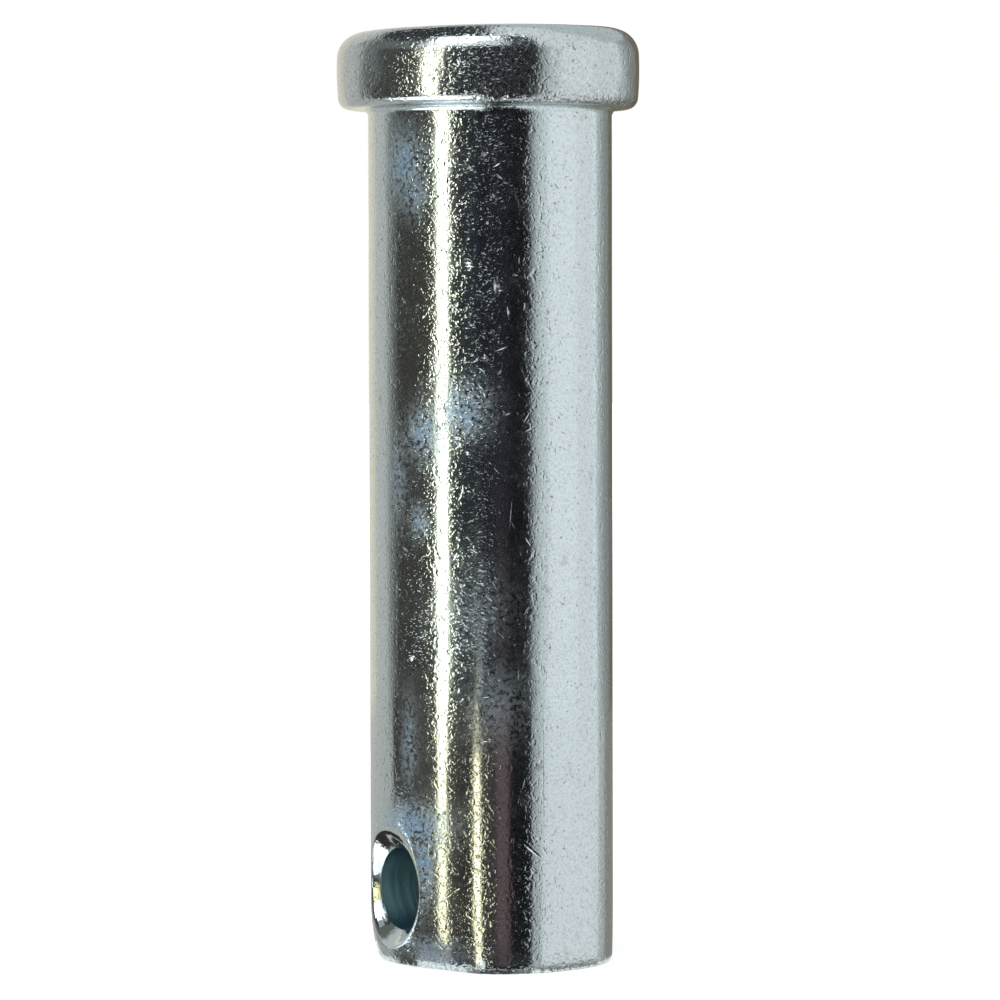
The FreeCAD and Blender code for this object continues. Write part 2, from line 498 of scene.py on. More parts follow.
def as_made(place, outward, skin, head, form):
    """Moves the nominal surface to this pin's own shape.

    The roll-over draws each level near the end in by how far left it lies, easing out with the square of
    the height left. The end's left edge is drawn up, most at the rim. The head's flat is a Gaussian of the
    arc from its middle. The head moves left, and its top slopes down to the left. Waves and dents move
    points along their normals.
    """
    random = np.random.default_rng(DENT_SEED)
    moved = place - outward * (skin * dented(place, outward, skin, head, form, random))[:, None]
    moved += outward * (skin * (1 - head) * waves(place, form) * ease(place[:, 2] / WAVES_GROW))[:, None]

    left = -(place @ CAMERA_RIGHT)
    share_left = left / SHANK_RADIUS
    fading = np.clip(1.0 - place[:, 2] / form.roll_height, 0.0, 1.0) ** 2
    rolled = ease((share_left - ROLL_FROM) / (1.0 - ROLL_FROM)) * fading
    squeeze = 1.0 - form.roll_over / SHANK_RADIUS * rolled
    moved[:, :2] *= squeeze[:, None]

    rim_share = (np.hypot(place[:, 0], place[:, 1]) / SHANK_RADIUS) ** 4
    near_end = np.exp(-place[:, 2] / LIFT_FADES)
    moved[:, 2] += form.end_lift * ease(share_left / LIFT_FULL) * rim_share * near_end * (1 - head)

    azimuth = azimuth_of(place)
    from_flat = (azimuth - FLAT_AT) * HEAD_RADIUS / FLAT_WIDTH
    moved[:, :2] *= (1.0 - head * form.head_flat / HEAD_RADIUS * np.exp(-0.5 * from_flat ** 2))[:, None]

    moved -= np.outer(head * form.head_offset, CAMERA_RIGHT)
    up_head = np.clip((place[:, 2] - BEARING_HEIGHT) / (TOP_HEIGHT - BEARING_HEIGHT), 0.0, 1.0)
    moved[:, 2] -= math.tan(form.head_tilt) * (left + TILT_PIVOT * HEAD_RADIUS) * up_head * head
    return moved


# Patches of blue and whitish residue: degrees right of the camera, height, half-width and half-height in
# millimetres, and strength
HAZE_PATCHES = {
    "under the head": (-43.0, 41.2, 0.9, 1.2, 1.0),
    "under the head, lower": (-38.0, 39.6, 0.6, 0.8, 0.8),
    "below the middle": (-33.0, 27.4, 0.75, 1.0, 0.9),
    "by the strip": (-13.0, 28.7, 0.9, 1.0, 0.9),
    "left edge": (-49.0, 25.2, 0.5, 1.6, 0.55),
    "low left": (-35.5, 23.0, 0.45, 0.6, 0.8),
    "long low left": (-42.0, 11.7, 0.35, 1.5, 0.7),
    "above the hole": (-40.0, 7.4, 1.3, 0.85, 1.25),
    "beside the hole": (-34.0, 5.6, 0.5, 1.5, 1.1),
    "front, low": (1.0, 13.8, 1.0, 1.4, 0.4),
    "front, mid": (-8.0, 18.5, 1.2, 1.6, 0.3),
    "foot": (-32.0, 1.2, 1.6, 0.5, 0.45),
    "back, upper": (150.0, 35.0, 1.5, 2.2, 0.9),
    "back, lower": (-120.0, 14.0, 1.2, 2.6, 0.8),
    "right side": (84.0, 22.0, 1.0, 1.8, 0.6),
    "back, foot": (190.0, 5.0, 2.0, 1.2, 0.8),
}


def haze_on(place):
    """Share of haze at each point: the strongest of the patches, each a Gaussian in arc and height."""
    azimuth = azimuth_of(place)
    share = np.zeros(len(place))
    for degrees, height, half_width, half_height, strength in HAZE_PATCHES.values():
        turn = (azimuth - math.radians(degrees) + math.pi) % (2 * math.pi) - math.pi
        across = turn * SHANK_RADIUS / (half_width * MM)
        up = (place[:, 2] - height * MM) / (half_height * MM)
        share = np.maximum(share, strength * np.exp(-0.5 * (across ** 2 + up ** 2)))
    return share


# The worn edges: how fast wear fades with height, how high the head's edge lies over the bearing face, from
# what share of the shank's radius wear starts at the end and at the head, and how much more makes it full
WEAR_FADES = 0.3 * MM
HEAD_EDGE_UP = 0.2 * MM
END_WEAR_FROM = 0.9
HEAD_WEAR_FROM = 1.1
WEAR_GROWS = 0.08

# The part of the head's edge that isn't worn: its middle, its half-width and the fade, in degrees
UNWORN = (-50.0, 35.0, 25.0)


def edge_wear(place):
    """Share of wear at each point: full on the end's edge and on the head's lower edge, and soon fading.

    It halves about every fifth of a millimetre of height away from the edge. The head's edge is not worn
    on the left of the camera's side.
    """
    reach = np.hypot(place[:, 0], place[:, 1])
    azimuth = np.degrees(azimuth_of(place))
    middle, half_width, fade = UNWORN
    worn_side = ease((np.abs(azimuth - middle) - half_width) / fade)
    end = np.exp(-place[:, 2] / WEAR_FADES) * ease((reach / SHANK_RADIUS - END_WEAR_FROM) / WEAR_GROWS)
    head = np.exp(-np.abs(place[:, 2] - BEARING_HEIGHT - HEAD_EDGE_UP) / WEAR_FADES)
    return np.maximum(end, head * worn_side * ease((reach / SHANK_RADIUS - HEAD_WEAR_FROM) / WEAR_GROWS))


# How hard each area was knocked about, as factors on the nicks' depth
KNOCKED = {"everywhere": 0.74, "belt": -0.3, "upper shank": 0.16, "head": 0.3, "foot": 0.2}

# The belt's middle and width in degrees right of the camera, and where each other area starts and the
# distance over which it becomes full
BELT = (14.0, 7.5)
UPPER_SHANK = (24.0 * MM, 10.0 * MM)
HEAD_UP = 0.5 * MM
HEAD_LEFT = (10.0, 20.0)
FOOT = (10.0 * MM, 5.0 * MM)


def knocks(place):
    """Factor on the nicks at each point: the head and the foot have more, and a belt on the right less."""
    azimuth = np.degrees(azimuth_of(place))
    height = place[:, 2]
    foot = ease((FOOT[0] - height) / FOOT[1])
    left = ease((HEAD_LEFT[0] - azimuth) / HEAD_LEFT[1])
    shares = {
        "everywhere": 1.0,
        "belt": np.exp(-((azimuth - BELT[0]) / BELT[1]) ** 2) * (1.0 - foot),
        "upper shank": ease((height - UPPER_SHANK[0]) / UPPER_SHANK[1]),
        "head": ease((height - BEARING_HEIGHT) / HEAD_UP) * left,
        "foot": foot,
    }
    return sum(KNOCKED[area] * share for area, share in shares.items())


def skin_map(mesh, place):
    """UV map in millimetres: U is the arc round the pin to the right of the camera's side, V the height."""
    azimuth = azimuth_of(place)
    corners = np.empty(len(mesh.loops), int)
    mesh.loops.foreach_get("vertex_index", corners)
    starts = np.empty(len(mesh.polygons), int)
    mesh.polygons.foreach_get("loop_start", starts)
    turn = azimuth[corners]
    highest = np.maximum.reduceat(turn, starts)
    lowest = np.minimum.reduceat(turn, starts)
    sizes = np.diff(np.append(starts, len(corners)))
    across_seam = np.repeat(highest - lowest > math.pi, sizes)
    turn = np.where(across_seam & (turn < 0), turn + 2 * math.pi, turn)
    both = np.stack([turn * SHANK_RADIUS / MM, place[corners, 2] / MM], axis=1)
    mesh.uv_layers.new(name="skin").uv.foreach_set("vector", both.astype(np.float32).ravel())


def add(tree, kind, inputs=None, **settings):
    """Adds a node, sets its properties, and links or sets its input sockets. Returns the node.

    Another node given as an input is linked by its first output in use.
    """
    node = tree.nodes.new("ShaderNode" + kind)
    for name, value in settings.items():
        setattr(node, name, value)
    for name, value in (inputs or {}).items():
        if isinstance(value, bpy.types.Node):
            value = next(output for output in value.outputs if output.enabled)
        if isinstance(value, bpy.types.NodeSocket):
            tree.links.new(value, node.inputs[name])
        else:
            node.inputs[name].default_value = value
    return node


def blank_material(name):
    """A new node material and its empty node tree."""
    material = bpy.data.materials.new(name)
    material.use_nodes = True
    material.node_tree.nodes.clear()
    return material, material.node_tree


def in_millimetres(tree):
    """The piece's own coordinates, in millimetres."""
    where = add(tree, "TexCoord")
    return add(tree, "VectorMath", {0: where.outputs["Object"], 3: 1 / MM}, operation="SCALE")


def ripple(tree, place, width, depth, detail=2.0):
    """Height of a noise whose bumps are about this many millimetres wide and deep. Returns metres."""
    noise = add(tree, "TexNoise", {"Vector": place, "Scale": 1 / width, "Detail": detail})
    centred = add(tree, "Math", {0: noise, 1: 0.5}, operation="SUBTRACT")
    return add(tree, "Math", {0: centred, 1: depth * MM}, operation="MULTIPLY")


def pits(tree, place, width, depth, low, high):
    """Height of irregular pits, in metres: where a noise of that width passes from low to high, it sinks."""
    noise = add(tree, "TexNoise", {"Vector": place, "Scale": 1 / width, "Detail": 1.0})
    return add(
        tree, "MapRange",
        {"Value": noise, "From Min": low, "From Max": high, "To Max": -depth * MM},
        interpolation_type="SMOOTHSTEP")


def nicks(tree, place, spacing, longest, width, depth, share, offset):
    """Height of small nicks from pins that knocked together, in metres.

    Each cell of a Voronoi pattern holds a thin disc, turned at random by the cell's colour. Where the disc
    cuts the surface, it leaves a groove as wide as the disc is thick and at most as long as it is wide,
    and the groove's depth falls off with the square of the distance. A share of the cells keeps its disc,
    and the cell's own number sets how deep it goes.
    """
    moved = add(tree, "VectorMath", {0: place, 1: (offset, -offset, 2 * offset)}, operation="ADD")
    cells = add(tree, "TexVoronoi", {"Vector": moved, "Scale": 1 / spacing})
    lot = add(tree, "TexWhiteNoise", {"Vector": cells.outputs["Position"]})
    toward = add(tree, "VectorMath", {0: moved, 1: cells.outputs["Position"]}, operation="SUBTRACT")
    angles = add(tree, "VectorMath", {0: lot.outputs["Color"], 3: 2 * math.pi}, operation="SCALE")
    turned = add(tree, "VectorRotate", {"Vector": toward, "Rotation": angles}, rotation_type="EULER_XYZ")
    disc = add(
        tree, "VectorMath", {0: turned, 1: (2 / longest, 2 / longest, 2 / width)}, operation="MULTIPLY")
    squared = add(tree, "VectorMath", {0: disc, 1: disc}, operation="DOT_PRODUCT")
    groove = add(tree, "Math", {0: 1.0, 1: squared}, operation="SUBTRACT", use_clamp=True)
    deep = add(tree, "MapRange", {"Value": lot, "From Min": 1 - share, "To Max": -depth * MM})
    return add(tree, "Math", {0: groove, 1: deep}, operation="MULTIPLY")


# Marks that stand out by themselves: degrees right of the camera, height in millimetres, length and width
# in millimetres, turn from level in degrees, and depth in millimetres
PLAIN_MARKS = {
    "upright lens": (3.0, 34.93, 1.1, 0.32, -87.0, 0.068),
    "faint upright lens": (8.5, 33.65, 0.9, 0.18, -84.0, 0.025),
    "slanted nick": (5.0, 31.8, 0.75, 0.10, 22.0, 0.02),
    "short slanted nick": (8.0, 28.5, 0.4, 0.08, 20.0, 0.015),
    "broad level nick": (-10.2, 36.2, 0.6, 0.26, -4.0, 0.03),
    "level nick under it": (-9.7, 35.97, 0.6, 0.12, -6.0, 0.02),
    "small level nick": (11.5, 35.5, 0.3, 0.1, 10.0, 0.02),
    "bright level scratch": (-16.0, 27.26, 0.5, 0.14, -3.0, 0.02),
    "short bright scratch": (-10.9, 26.5, 0.4, 0.16, -15.0, 0.02),
    "edge nick, upper": (17.0, 28.28, 0.68, 0.1, 59.0, 0.014),
    "edge nick, lower": (18.6, 27.69, 0.88, 0.1, 27.0, 0.014),
    "left flake": (-39.8, 15.87, 0.75, 0.5, 35.0, 0.04),
    "small left flake": (-44.4, 21.56, 0.55, 0.16, -25.0, 0.03),
    "low slanted scratch": (19.2, 6.3, 1.22, 0.18, -39.5, 0.035),
    "low crescent": (-18.2, 4.2, 0.85, 0.2, 35.0, 0.05),
    "foot nick": (1.1, 1.63, 0.45, 0.14, -4.0, 0.03),
    "fine upright scratch": (5.8, 40.4, 1.6, 0.05, 90.0, 0.004),
    "long fine scratch": (9.2, 23.3, 2.8, 0.06, 85.0, 0.007),
    "longest fine scratch": (24.6, 10.6, 11.0, 0.045, 90.4, 0.005),
}


def plain_marks(tree):
    """Height of the marks that stand out by themselves, in metres, from the skin's own UV map.

    Each is an ellipse on the unrolled skin, with straight slopes down to its middle.
    """
    skin = add(tree, "UVMap", uv_map="skin")
    height = 0.0
    for degrees, up, longest, width, turn, depth in PLAIN_MARKS.values():
        mark = add(
            tree, "Mapping",
            {"Vector": skin, "Location": (math.radians(degrees) * SHANK_RADIUS / MM, up, 0.0),
             "Rotation": (0.0, 0.0, math.radians(turn)), "Scale": (longest / 2, width / 2, 1.0)},
            vector_type="TEXTURE")
        groove = add(tree, "TexGradient", {"Vector": mark}, gradient_type="SPHERICAL")
        height = add(
            tree, "Math", {0: groove.outputs["Fac"], 1: -depth * MM, 2: height},
            operation="MULTIPLY_ADD")
    return height


def summed(tree, values):
    """The sum of several values."""
    total = values[0]
    for value in values[1:]:
        total = add(tree, "Math", {0: total, 1: value}, operation="ADD")
    return total


# Patterns in the bright skin: how many grains there are in a millimetre, and the noise's detail and
# roughness. Bend crooks the small nicks and crowd gathers them, curdle clots the residue, cloud makes the
# shine uneven, grain is the plating's own, spots and specks are brown, and smear dulls the skin in places.
SKIN_NOISES = {
    "bend": (2.2, 1.0, 0.5),
    "crowd": (0.7, 2.0, 0.5),
    "curdle": (4.5, 4.0, 0.65),
    "cloud": (0.45, 3.0, 0.6),
    "grain": (7.0, 3.0, 0.7),
    "spots": (0.9, 5.0, 0.7),
    "specks": (5.5, 2.0, 0.5),
    "smear": (2.4, 3.0, 0.6),
}

# What those patterns do: the pattern, its values where the effect starts and is full, and the effect at
# both of them
SKIN_RAMPS = {
    "crowded": ("crowd", 0.36, 0.64, 0.75, 1.1),
    "crumbled": ("curdle", 0.41, 0.54, 0.0, 1.0),
    "grey": ("grain", 0.44, 0.7, 0.0, 0.65),
    "stained": ("spots", 0.62, 0.74, 0.0, 0.45),
    "grimy": ("grain", 0.45, 0.6, 0.0, 0.8),
    "smeared": ("smear", 0.5, 0.72, 0.0, 0.08),
    "matt": ("grain", 0.42, 0.66, 0.0, 0.1),
}


def bright_zinc(finish):
    """Bright zinc plated steel, blue passivated: a mirror-like skin with fine grain and nicks.

    Fine grain from the bath breaks up the edges of reflections. Nicks from barrel plating catch the
    lamps. Residue of dried passivate is bluer and matt, and the headed end is duller than the drawn bar.
    """
    material, tree = blank_material("bright zinc plated steel")
    place = in_millimetres(tree)
    noise = {
        name: add(tree, "TexNoise", {"Vector": place, "Scale": scale, "Detail": detail, "Roughness": rough})
        for name, (scale, detail, rough) in SKIN_NOISES.items()}
    ramp = {
        name: add(tree, "MapRange", {
            "Value": noise[source], "From Min": start, "From Max": full, "To Min": least, "To Max": most})
        for name, (source, start, full, least, most) in SKIN_RAMPS.items()}
    bent_place = add(
        tree, "VectorMath", {0: noise["bend"].outputs["Color"], 1: (0.16, 0.16, 0.16), 2: place},
        operation="MULTIPLY_ADD")
    flattened = add(tree, "VectorMath", {0: place, 1: (1.0, 1.0, 1.5)}, operation="MULTIPLY")
    head, haze_share, worn, knocked = (
        add(tree, "Attribute", attribute_name=name).outputs["Fac"]
        for name in ("headed", "haze", "worn", "knocked"))
    marks = [
        pits(tree, flattened, width=0.16, depth=0.008, low=0.54, high=0.76),
        pits(tree, place, width=0.42, depth=0.012, low=0.60, high=0.75),
        nicks(tree, bent_place, spacing=0.24, longest=0.26, width=0.10, depth=0.012, share=0.45, offset=3.0),
        nicks(tree, bent_place, spacing=0.6, longest=0.55, width=0.11, depth=0.022, share=0.35, offset=17.0),
    ]
    spared = add(tree, "Math", {0: ramp["crowded"], 1: knocked}, operation="MULTIPLY")
    on_haze = add(tree, "Math", {0: haze_share, 1: 0.7, 2: spared}, operation="MULTIPLY_ADD")
    grown = add(tree, "Math", {0: summed(tree, marks), 1: on_haze}, operation="MULTIPLY")
    forged = add(
        tree, "Math", {0: ripple(tree, place, width=0.6, depth=0.010), 1: head}, operation="MULTIPLY")
    chipped = add(
        tree, "Math", {0: pits(tree, place, width=0.3, depth=0.05, low=0.5, high=0.7), 1: worn},
        operation="MULTIPLY")
    heights = [
        ripple(tree, place, width=1.6, depth=0.012),
        ripple(tree, place, width=0.2, depth=0.002),
        nicks(tree, place, spacing=3.4, longest=4.6, width=0.05, depth=0.004, share=0.4, offset=41.0),
        grown,
        forged,
        chipped,
        plain_marks(tree),
    ]
    bump = add(tree, "Bump", {"Height": summed(tree, heights), "Distance": 1.0, "Strength": 1.0})

    haze = add(tree, "Math", {0: haze_share, 1: ramp["crumbled"]}, operation="MULTIPLY", use_clamp=True)
    headed_grey = add(
        tree, "Math", {0: head, 1: 0.22, 2: ramp["grey"]}, operation="MULTIPLY_ADD", use_clamp=True)
    base = add(
        tree, "Mix", {"Factor": headed_grey, "A": linear(finish.zinc), "B": linear(finish.zinc_dull)},
        data_type="RGBA")
    more_specks = add(tree, "Math", {0: head, 1: 0.015, 2: noise["specks"]}, operation="MULTIPLY_ADD")
    speckled = add(
        tree, "MapRange", {"Value": more_specks, "From Min": 0.65, "From Max": 0.72, "To Max": 0.65})
    grime = add(tree, "Math", {0: worn, 1: ramp["grimy"]}, operation="MULTIPLY")
    brown = add(tree, "Math", {0: ramp["stained"], 1: speckled}, operation="MAXIMUM")
    browner = add(tree, "Math", {0: brown, 1: grime}, operation="MAXIMUM")
    with_stains = add(
        tree, "Mix", {"Factor": browner, "A": base, "B": linear(finish.stain)}, data_type="RGBA")
    residue = add(
        tree, "Mix", {"Factor": ramp["grey"], "A": linear(finish.haze), "B": linear(finish.haze_thick)},
        data_type="RGBA")
    colour = add(tree, "Mix", {"Factor": haze, "A": with_stains, "B": residue}, data_type="RGBA")

    uneven = add(
        tree, "MapRange",
        {"Value": noise["cloud"], "From Min": 0.3, "From Max": 0.7,
         "To Min": finish.roughness - 0.03, "To Max": finish.roughness + 0.04})
    duller = finish.head_roughness - finish.roughness
    on_head = add(tree, "Math", {0: head, 1: duller, 2: uneven}, operation="MULTIPLY_ADD")
    dulled = add(tree, "Math", {0: ramp["smeared"], 1: on_head}, operation="ADD")
    rough = add(tree, "Math", {0: haze, 1: 0.24, 2: dulled}, operation="MULTIPLY_ADD")
    matt_head = add(tree, "Math", {0: ramp["matt"], 1: head}, operation="MULTIPLY")
    plain_metal = add(tree, "Math", {0: 0.985, 1: matt_head}, operation="SUBTRACT")
    metal = add(tree, "Math", {0: haze, 1: -0.68, 2: plain_metal}, operation="MULTIPLY_ADD")
    shader = add(
        tree, "BsdfPrincipled",
        {"Base Color": colour, "Metallic": metal, "Roughness": rough, "Normal": bump})
    add(tree, "OutputMaterial", {"Surface": shader})
    return material


# Red, green and blue shares of a cut surface's colour that are left between its rings
RING_SHADE = (0.38, 0.45, 0.52)


def cut_zinc(name, colour, ring_width, ring_depth, roughness, metallic, ends):
    """Zinc over a surface that a drill or a countersink cut: fine rings run round the tool's axis, X.

    The rings are a noise that is squeezed along X and drawn out across it. The colour passes to that of the
    ends at the hole's top and bottom; in the bore that tone is darker, a painted shade inside the hole.
    """
    material, tree = blank_material(name)
    place = in_millimetres(tree)
    squeezed = add(tree, "VectorMath", {0: place, 1: (1.0, 0.09, 0.09)}, operation="MULTIPLY")
    rings = ripple(tree, squeezed, width=ring_width, depth=ring_depth, detail=3.0)
    lumps = ripple(tree, place, width=0.35, depth=0.012)
    bump = add(tree, "Bump", {"Height": summed(tree, [rings, lumps]), "Distance": 1.0, "Strength": 1.0})
    cloud = add(tree, "TexNoise", {"Vector": squeezed, "Scale": 3.4, "Detail": 3.0, "Roughness": 0.6})
    rough = add(
        tree, "MapRange",
        {"Value": cloud, "From Min": 0.3, "From Max": 0.7,
         "To Min": roughness - 0.05, "To Max": roughness + 0.05})
    shade = add(tree, "MapRange", {"Value": cloud, "From Min": 0.35, "From Max": 0.65, "To Max": 0.8})
    darker = (*(share * channel for share, channel in zip(RING_SHADE, linear(colour))), 1.0)
    mixed = add(tree, "Mix", {"Factor": shade, "A": linear(colour), "B": darker}, data_type="RGBA")
    # Toward the hole's top and bottom the colour darkens to the ends' tone: painted shade in the bore
    up = add(tree, "SeparateXYZ", {0: place}).outputs[2]
    from_middle = add(tree, "Math", {0: up, 1: -HOLE_HEIGHT / MM}, operation="ADD")
    either_way = add(tree, "Math", {0: from_middle}, operation="ABSOLUTE")
    painted_shade_share = add(
        tree, "MapRange", {"Value": either_way, "From Min": 0.9, "From Max": 2.1},
        interpolation_type="SMOOTHSTEP")
    with_painted_shade = add(tree, "Mix", {"Factor": painted_shade_share, "A": mixed, "B": linear(ends)}, data_type="RGBA")
    shader = add(
        tree, "BsdfPrincipled",
        {"Base Color": with_painted_shade, "Metallic": metallic, "Roughness": rough, "Normal": bump})
    add(tree, "OutputMaterial", {"Surface": shader})
    return material


def mesh_object(name, place, faces):
    """A mesh object at the origin, from an array of points and a list of faces, shaded smooth."""
    mesh = bpy.data.meshes.new(name)
    mesh.from_pydata(place.tolist(), [], faces)
    mesh.shade_smooth()
    made = bpy.data.objects.new(name, mesh)
    bpy.context.scene.collection.objects.link(made)
    return made


def point_values(mesh, name, values):
    """Keeps one number for each point of the mesh, for its material to read."""
    mesh.attributes.new(name, "FLOAT", "POINT").data.foreach_set("value", values.astype(np.float32))


class CLEVISPIN_OT_pin(bpy.types.Operator):
    """Build the pin's visible surface in place of its CAD node"""
    bl_idname = "clevispin.pin"
    bl_label = "Zinc plated pin"

    def execute(self, context):
        form = context.scene.clevispin_form
        finish = context.scene.clevispin_finish
        place, outward, skin, head, quads, triangles, skins = turned_pin(form)
        moved = as_made(place, outward, skin, head, form)
        pin = mesh_object("plated_pin", moved, quads.tolist() + triangles.tolist())
        point_values(pin.data, "headed", head)
        point_values(pin.data, "haze", haze_on(place) * skin)
        point_values(pin.data, "worn", edge_wear(place) * skin)
        point_values(pin.data, "knocked", knocks(place))
        skin_map(pin.data, place)
        pin.data.materials.append(bright_zinc(finish))
        pin.data.materials.append(cut_zinc(
            "zinc plated countersink", finish.zinc, ring_width=0.16, ring_depth=0.006, roughness=0.1,
            metallic=1.0, ends=finish.zinc))
        # The bore's darker ends are painted shade inside the hole
        pin.data.materials.append(cut_zinc(
            "zinc plated drilled bore", finish.bore, ring_width=0.2, ring_depth=0.03, roughness=0.3,
            metallic=0.5, ends=finish.bore_painted_shade))
        pin.data.polygons.foreach_set("material_index", skins.astype(np.int32))
        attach(pin, "root")
        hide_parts(NODE)
        return {"FINISHED"}


def seen_directly(tree):
    """1 for rays from the camera and for those that metal or glass sends on, and 0 for the rest."""
    path = add(tree, "LightPath")
    shiny = add(
        tree, "Math", {0: path.outputs["Is Glossy Ray"], 1: path.outputs["Is Transmission Ray"]},
        operation="MAXIMUM")
    return add(tree, "Math", {0: path.outputs["Is Camera Ray"], 1: shiny}, operation="MAXIMUM")


def paper_white():
    """Matt white backdrop paper that brightens to plain white away from the pin, and keeps its shadow."""
    material, tree = blank_material("matt white backdrop paper")
    where = add(tree, "TexCoord")
    flat = add(tree, "VectorMath", {0: where.outputs["Object"]}, operation="LENGTH")
    far = add(
        tree, "MapRange",
        {"Value": flat, "From Min": 0.012, "From Max": 0.12, "To Min": 0.62, "To Max": 1.0})
    strength = add(tree, "Math", {0: far, 1: seen_directly(tree)}, operation="MULTIPLY")
    paper = add(tree, "BsdfDiffuse", {"Color": linear("#F2F2F0")})
    glow = add(tree, "Emission", {"Strength": strength})
    both = add(tree, "AddShader", {0: paper, 1: glow})
    add(tree, "OutputMaterial", {"Surface": both})
    return material


def card_material(name, colour, strength):
    """Plain card that shows one even tone in the metal."""
    material, tree = blank_material(name)
    glow = add(tree, "Emission", {"Color": linear(colour), "Strength": strength})
    add(tree, "OutputMaterial", {"Surface": glow})
    return material


def mirrored(degrees, distance):
    """Azimuths, in radians, of what stands at a distance and shows in the shank at the given angles.

    degrees counts the reflected ray's turn right of the camera. The ray leaves the shank off its axis by the
    shank's radius times the sine of half the turn, so at a distance it has turned less by that offset's
    arc sine.
    """
    turn = np.radians(degrees)
    return turn - np.arcsin(SHANK_RADIUS * np.sin(turn / 2) / distance)


def in_room(azimuth, distance, height):
    """Points at azimuths right of the camera, at a distance from the axis and a height."""
    level = np.outer(np.cos(azimuth), TOWARD_CAMERA) + np.outer(np.sin(azimuth), CAMERA_RIGHT)
    points = level * distance
    points[:, 2] = height
    return points


def card_between(name, low_edge, high_edge, colour, strength=1.0):
    """A card between two rows of points, that shows one even tone in the metal and nowhere else."""
    count = len(low_edge) - 1
    step = np.arange(count)
    faces = np.stack([step, step + 1, step + count + 2, step + count + 1], axis=1).tolist()
    card = mesh_object(name, np.concatenate([low_edge, high_edge]), faces)
    card.data.materials.append(card_material(name, colour, strength))
    card.visible_camera = False
    card.visible_diffuse = False
    card.visible_shadow = False
    card.visible_volume_scatter = False


def area_lamp(name, azimuth, distance, foot, width, height, elevation, colour, brightness):
    """A rectangular lamp that faces the pin, as bright as a white card at that strength.

    The power of a rectangle of even brightness is brightness times pi times its area.
    """
    lamp = bpy.data.lights.new(name, "AREA")
    lamp.shape = "RECTANGLE"
    lamp.size = width
    lamp.size_y = height
    lamp.color = linear(colour)[:3]
    lamp.energy = brightness * math.pi * width * height
    made = bpy.data.objects.new(name, lamp)
    bpy.context.scene.collection.objects.link(made)
    level = distance * math.cos(elevation)
    middle = foot + distance * math.sin(elevation)
    place = Vector(in_room(azimuth, level, middle)[0])
    facing = place - Vector((0.0, 0.0, middle if elevation == 0 else foot))
    made.matrix_world = Matrix.Translation(place) @ facing.to_track_quat("Z", "Y").to_matrix().to_4x4()
    made.visible_camera = False


